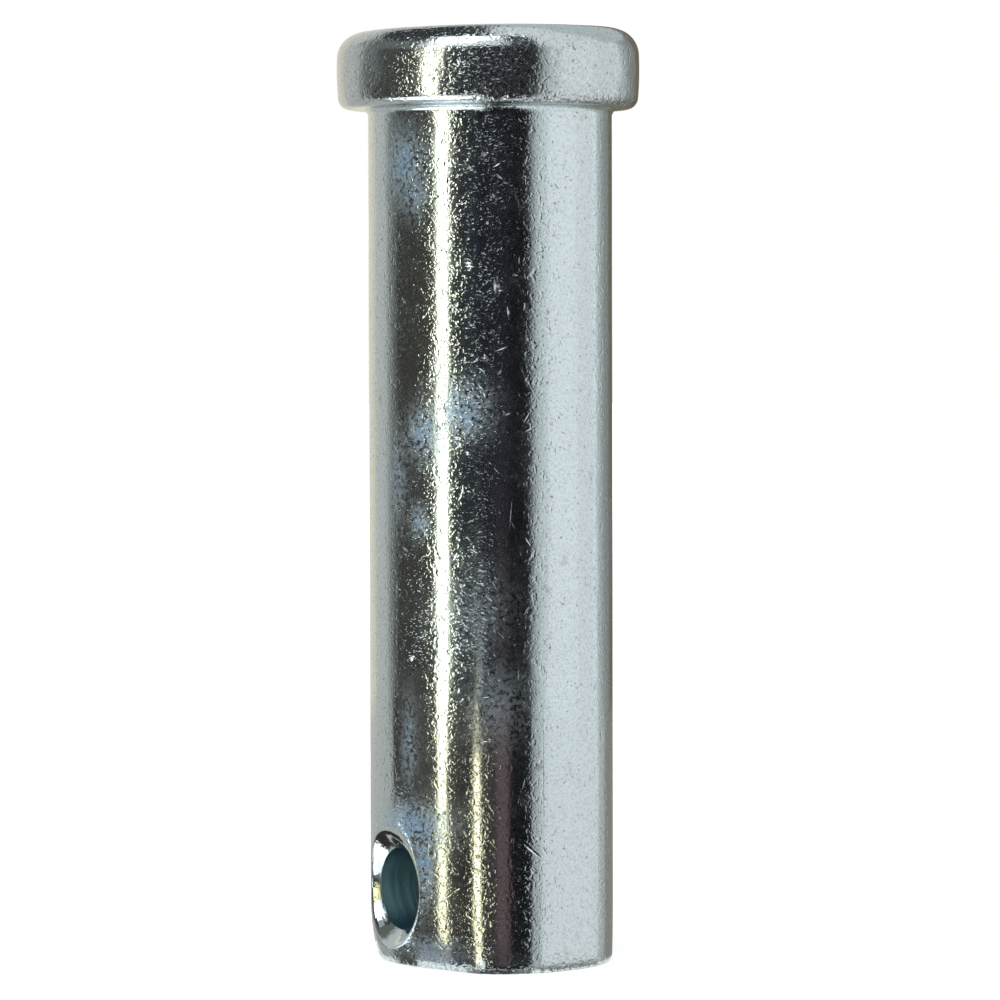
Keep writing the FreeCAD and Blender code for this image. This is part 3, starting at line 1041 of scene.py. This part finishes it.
# Cards in rings round the pin. A ring has the distance and height of its two edges in millimetres, and each
# of its cards has its mirrored azimuths from and to, its tone and, where that isn't 1, its strength.
# Standing cards have both edges at one distance, and lying cards have them at one height.
RINGS = (
    ((160, 0), (160, 110), {
        "cream card, left": (-180.0, -142.0, "#EEE6D4"), "grey card, left": (-142.0, -115.5, "#D2D0CC"),
        "mid grey card, left": (-115.5, -110.5, "#ACACA7"),
        "dark grey card, left": (-110.5, -105.5, "#868680"),
        "darker grey card, left": (-105.5, -99.5, "#686862"),
        "white card, right": (56.0, 90.0, "#FFFFFF", 1.07), "pale card, right": (90.0, 121.0, "#FAFAFA"),
        "grey card, far right": (121.0, 129.0, "#C4C8C8"), "dim card, far right": (129.0, 136.0, "#A8ACAA"),
        "olive card, far right": (136.0, 150.0, "#999890"),
        "dark olive card, far right": (150.0, 180.0, "#746C5C"),
    }),
    ((160, 0), (160, 90), {
        "olive flag, left": (-99.5, -51.5, "#403C37"), "dark flag, front": (-12.0, 17.0, "#181624"),
        "black flag, front": (17.0, 38.6, "#05060C"), "mid grey card, right": (38.6, 42.5, "#A4A6A8"),
        "grey card, right": (42.5, 48.0, "#D4D6D6"), "light grey card, right": (48.0, 56.0, "#EAEBEB"),
    }),
    ((158, 46), (158, 90), {
        "high grey card, left": (-100.0, -92.0, "#7C8080"),
        "high dark grey card, left": (-92.0, -84.0, "#585C5E"),
    }),
    ((160, 0), (160, 54), {"dark flag, by the lamp": (-41.3, -12.0, "#24262D")}),
    ((160, 54), (160, 90), {
        "high dark flag, by the lamp": (-38.9, -12.0, "#24262D"),
        "high olive flag, by the lamp": (-52.0, -49.9, "#403C37"),
    }),
    ((157, 0), (157, 8), {"faint second strip": (-15.0, -11.0, "#8A8A60")}),
    ((158, 0), (158, 17), {"brown card, front": (4.0, 15.0, "#3C3234")}),
    ((159, 0), (159, 110), {"white edge, right": (114.0, 119.0, "#FFFFFF", 1.1)}),
    ((18, 0.1), (160, 0.1), {"lying grey card, left": (-180.0, -107.0, "#C7C5C0")}),
    ((8.8, 0.1), (18, 0.1), {"lying grey card by the hole": (-180.0, -149.0, "#CCCAC8")}),
    ((8.6, 0.1), (18, 0.1), {"lying brown card, left": (-149.0, -122.5, "#3A3230")}),
    ((64, 0.1), (160, 0.1), {
        "lying olive flag, left": (-107.0, -54.0, "#45413C"), "lying strip": (-53.0, -41.0, "#FFFFD8", 2.0),
        "lying dark flag, by the lamp": (-41.0, -12.0, "#26292F"),
    }),
    ((13.2, 0.1), (64, 0.1), {"lying olive flag, near": (-107.0, -92.0, "#6E6E66")}),
    ((6.9, 0.1), (160, 0.1), {"lying black flag, front": (-8.0, 38.6, "#181418")}),
    ((6.9, 0.3), (9.5, 0.3), {"lying dark grey card, front": (16.5, 38.6, "#303238")}),
    # Cards lying at the foot: the floor right beside the pin as the metal shows it, in greys that paint the
    # floor's contact shadow
    ((6, 0.05), (6.7, 0.05), {"pale card at the foot": (-26.0, -20.0, "#C4C4C4")}),
    ((6, 0.05), (6.8, 0.05), {"lying mid grey card, foot": (-20.0, -12.0, "#969698")}),
    ((6, 0.05), (6.9, 0.05), {
        "lying grey card, foot": (-12.0, -2.0, "#6C6C70"),
        "lying dark grey card, foot": (-2.0, 20.0, "#4E5054"),
        "lying grey card, foot, right": (20.0, 30.0, "#828688"),
        "lying light grey card, foot, right": (30.0, 38.6, "#A8ACAC"),
    }),
    ((6.9, 0.3), (13, 0.3), {
        "lying second strip": (-16.4, -10.6, "#FFF2C8", 2.6),
        "lying dark brown card": (-6.0, 5.0, "#40383A"), "lying brown card": (5.0, 16.5, "#5C4C4E"),
    }),
    ((6.5, 0.1), (160, 0.1), {
        "lying grey card, right": (38.6, 48.0, "#C4C6C6"),
        "lying dim card, right": (122.0, 136.0, "#C8C8C2"),
        "lying olive card, right": (136.0, 180.0, "#94938A"),
    }),
    ((7.4, 0.1), (160, 0.1), {"lying white card, right": (48.0, 122.0, "#FAFAFA")}),
    # Painted contact shadow: the dimmer floor just beside the foot
    ((6.3, 0.1), (7.4, 0.1), {"lying dim card, foot": (48.0, 122.0, "#A8A8A4")}),
    # Glowing white card brighter than white: painted light, the lamp-lit floor as the metal shows it
    ((13.4, 0.2), (64, 0.2), {"white card under the lamp": (-96.0, -22.0, "#FFFFFF", 2.6)}),
    # Painted light as well: the lit floor at the foot
    ((6.3, 0.2), (6.7, 0.2), {"white card at the foot": (-86.0, -26.0, "#FFFFFF", 1.3)}),
    # These grey cards at the foot paint the floor's contact shadow as the metal shows it
    ((6.7, 0.2), (8.2, 0.2), {"grey card at the foot": (-79.0, -42.0, "#A6A8AE")}),
    ((8.2, 0.2), (10, 0.2), {"darker grey card at the foot": (-79.0, -42.0, "#7A7E84")}),
    ((6.7, 0.2), (8.6, 0.2), {"dark grey card at the foot": (-42.0, -16.5, "#4A4C52")}),
    ((6.3, 0.2), (9.6, 0.2), {"light grey card at the foot, left": (-160.0, -122.0, "#B4B4B0")}),
    ((6, 0.05), (9.6, 0.2), {
        "grey card at the foot, left": (-122.0, -108.0, "#6C6C68"),
        "dark grey card at the foot, left": (-108.0, -86.0, "#4C4C48"),
    }),
    ((6.7, 0.2), (9.6, 0.2), {"mid grey card at the foot, left": (-86.0, -79.0, "#74746F")}),
    # Painted light: a glowing white card for the lit floor by the hole
    ((9.6, 0.2), (12.9, 0.2), {"white card by the hole": (-122.5, -90.0, "#FFFFFF", 2.4)}),
    ((8.6, 0.1), (13, 0.1), {
        "lying flag by the hole": (-90.0, -51.6, "#403C37"), "lying low dark flag": (-43.8, -8.0, "#302C2A"),
    }),
    ((10, 0.1), (13, 0.1), {"lying low strip": (-51.6, -43.8, "#FFF2C8", 1.8)}),
    ((13, 0), (13, 13.4), {
        "low olive flag": (-107.0, -51.6, "#403C37"), "low dark flag": (-42.6, -16.5, "#302C2A"),
        "low dark flag, middle": (-10.6, -6.0, "#2C2426"), "low dark brown card": (-6.0, 5.0, "#3E3436"),
        "low brown card": (5.0, 16.5, "#6C5759"), "low black flag": (16.5, 38.6, "#06070C"),
    }),
    ((12.8, 0), (12.8, 2.3), {"glow on the low flag, foot": (-106.0, -91.0, "#FFFFFF", 2.2)}),
    ((12.8, 3.3), (12.8, 4.4), {"glow on the low flag, yellow": (-101.0, -91.0, "#FFF2B0", 2.2)}),
    ((12.8, 4.6), (12.8, 6.8), {"glow on the low flag, white": (-101.0, -91.0, "#FFFFFF", 2.0)}),
    ((12.8, 6.8), (12.8, 7.6), {"glow on the low flag, grey": (-106.0, -93.0, "#B0B0B0")}),
    ((13, 0), (13, 6.5), {"low strip, foot": (-51.6, -43.8, "#FFF2C8", 2.6)}),
    ((13, 6.5), (13, 10.5), {"low strip, middle": (-52.0, -43.4, "#FFF4D0", 3.0)}),
    ((13, 10.5), (13, 13.4), {
        "low strip, top": (-52.4, -42.6, "#FFF8D8", 3.4),
        "low second strip, top": (-15.4, -11.5, "#FFF2C8", 1.2),
    }),
    ((13.3, 0), (13.3, 13.4), {"low dark flag, behind the strip": (-54.0, -41.0, "#3A3633")}),
    ((13, 0), (13, 7.5), {"low second strip, foot": (-16.4, -10.6, "#FFF2C8", 3.2)}),
    ((13, 7.5), (13, 10.5), {"low second strip, middle": (-16.0, -11.0, "#FFF2C8", 3.0)}),
    ((13.4, 0), (13.4, 13.4), {"low dark flag, by the second strip": (-17.0, -9.0, "#302C2A")}),
)

# Roof cards: azimuths from and to, elevations from and to, all in degrees, and tone
ROOF_CARDS = {
    "roof card, left": ((-180.0, -132.0), (12.0, 44.0), "#E0DEDA"),
    "roof card, further left": ((-132.0, -115.0), (12.0, 44.0), "#A8A6A2"),
    "roof card, beside the bank": ((-115.0, -58.0), (14.0, 46.0), "#6C726C"),
    "roof flag, back left": ((-180.0, -58.0), (46.0, 62.5), "#2C2E34"),
    "roof flag, over": ((-180.0, 4.0), (62.0, 89.0), "#24262C"),
    "roof flag, front right": ((16.0, 38.6), (12.0, 66.0), "#181A22"),
    "roof card, over right": ((4.0, 180.0), (66.0, 89.0), "#FFFFFF"),
    "roof card, right": ((105.0, 180.0), (18.0, 66.0), "#D4DAD8"),
}
ROOF_DISTANCE = 0.4
ROOF_STEPS = 24
ROOF_ROWS = 4

# About how many degrees each flat face of a bent card spans
CARD_STEP = 3

# Strip lamps: mirrored azimuths from and to in degrees, and heights of foot and top in metres
STRIP_LAMPS = {
    "strip lamp": ((-51.2, -41.6), 0.0, 0.054),
    "strip lamp, upper": ((-49.6, -39.2), 0.054, 0.1),
}

# Bank lamps: azimuth and elevation in degrees, and width and height in metres. They stand at one distance
# from the point above the floor that they face.
BANK_LAMPS = {
    "bank lamp": (-30.0, 44.0, 0.2, 0.21),
    "bank lamp, right": (-6.0, 52.0, 0.12, 0.10),
}
BANK_DISTANCE = 0.36
BANK_AIM = 0.03

# The floor in metres, and the camera's sensor in millimetres and nearest and farthest sight in metres
FLOOR_RADIUS = 1.6
FLOOR_SIDES = 96
SENSOR_WIDTH = 36.0
CLIP = (0.01, 5.0)


class CLEVISPIN_OT_studio(bpy.types.Operator):
    """Set up the floor, the cards, the lamps, the background and the camera"""
    bl_idname = "clevispin.studio"
    bl_label = "Studio"

    def execute(self, context):
        studio = context.scene.clevispin_studio
        self.floor()
        self.cards()
        self.lamps(studio)
        self.background(context.scene, studio)
        self.camera(context.scene, studio)
        return {"FINISHED"}

    def floor(self):
        """A wide round floor."""
        azimuth = 2 * math.pi * np.arange(FLOOR_SIDES) / FLOOR_SIDES
        rim = np.stack([np.cos(azimuth), np.sin(azimuth), np.zeros(FLOOR_SIDES)], axis=1) * FLOOR_RADIUS
        paper = mesh_object("floor", rim, [list(range(FLOOR_SIDES))])
        paper.data.materials.append(paper_white())

    def cards(self):
        """Cards that shape what the metal shows: bent ones in rings, and rows of them under the roof."""
        for low, high, cards in RINGS:
            for name, (first, last, colour, *strength) in cards.items():
                turns = np.linspace(first, last, max(3, int((last - first) / CARD_STEP)))
                edges = [in_room(mirrored(turns, d * MM), d * MM, h * MM) for d, h in (low, high)]
                card_between(name, *edges, colour, *strength)
        for name, (turns, (low, high), colour) in ROOF_CARDS.items():
            azimuth = np.radians(np.linspace(*turns, ROOF_STEPS + 1))
            up = np.radians(np.linspace(low, high, ROOF_ROWS + 1))
            rows = [in_room(azimuth, ROOF_DISTANCE * math.cos(e), ROOF_DISTANCE * math.sin(e)) for e in up]
            for under, over in zip(rows, rows[1:]):
                card_between(name, under, over, colour)

    def lamps(self, studio):
        """A tall strip lamp left of the camera, its top a little to the right, and two bank lamps above."""
        for name, (turns, foot, top) in STRIP_LAMPS.items():
            first, last = mirrored(turns, studio.lamp_distance)
            width = 2 * studio.lamp_distance * math.tan((last - first) / 2)
            area_lamp(
                name, (first + last) / 2, studio.lamp_distance, (foot + top) / 2, width, top - foot, 0.0,
                "#FFF8D4", studio.strip_light)
        for name, (azimuth, elevation, width, height) in BANK_LAMPS.items():
            area_lamp(
                name, math.radians(azimuth), BANK_DISTANCE, BANK_AIM, width, height, math.radians(elevation),
                "#FFFFFF", studio.bank_light)

    def background(self, scene, studio):
        """A white world for the camera and for the metal, and plain soft light for the rest."""
        world = bpy.data.worlds.new("white room")
        scene.world = world
        world.use_nodes = True
        tree = world.node_tree
        tree.nodes.clear()
        strength = add(
            tree, "MapRange", {"Value": seen_directly(tree), "To Min": studio.room_light, "To Max": 1.0})
        room = add(tree, "Background", {"Color": linear("#FFFFFF"), "Strength": strength})
        add(tree, "OutputWorld", {"Surface": room})

    def camera(self, scene, studio):
        """The photograph's view: level with the upper shank, looking slightly down at the pin's middle."""
        camera = bpy.data.objects.new("camera", bpy.data.cameras.new("camera"))
        scene.collection.objects.link(camera)
        camera.data.sensor_width = SENSOR_WIDTH
        camera.data.lens = studio.lens
        camera.data.clip_start, camera.data.clip_end = CLIP
        place = Vector(TOWARD_CAMERA) * studio.camera_distance + Vector((0.0, 0.0, studio.camera_height))
        aim = Vector(CAMERA_RIGHT) * studio.aim_right + Vector((0.0, 0.0, studio.aim_height))
        turn = (aim - place).to_track_quat("-Z", "Y").to_matrix().to_4x4()
        roll = Matrix.Rotation(-studio.camera_roll, 4, "Z")
        camera.matrix_world = Matrix.Translation(place) @ turn @ roll
        scene.camera = camera
        scene.view_settings.view_transform = "Standard"


class CLEVISPIN_PT_panel(bpy.types.Panel):
    """Lists the pin's operators and their settings"""
    bl_idname = "CLEVISPIN_PT_panel"
    bl_label = "Clevis pin"
    bl_space_type = "VIEW_3D"
    bl_region_type = "UI"
    bl_category = "Clevis pin"

    def draw(self, context):
        for operator in OPERATORS:
            self.layout.operator(operator.bl_idname)
        for group in SETTINGS:
            column = self.layout.column(heading=group)
            settings = getattr(context.scene, group)
            for name in settings.__annotations__:
                column.prop(settings, name)


OPERATORS = (CLEVISPIN_OT_pin, CLEVISPIN_OT_studio)
SETTINGS = {"clevispin_form": PinForm, "clevispin_finish": PinFinish, "clevispin_studio": StudioLayout}


def register():
    """Registers the settings, the operators and the panel."""
    for name, group in SETTINGS.items():
        bpy.utils.register_class(group)
        setattr(bpy.types.Scene, name, PointerProperty(type=group))
    for kind in (*OPERATORS, CLEVISPIN_PT_panel):
        bpy.utils.register_class(kind)


def unregister():
    """Takes them all away again."""
    for kind in reversed((*OPERATORS, CLEVISPIN_PT_panel)):
        bpy.utils.unregister_class(kind)
    for name, group in SETTINGS.items():
        delattr(bpy.types.Scene, name)
        bpy.utils.unregister_class(group)


def main():
    """Builds the pin and its studio."""
    register()
    bpy.ops.clevispin.pin()
    bpy.ops.clevispin.studio()


if __name__ == "__main__":
    main()
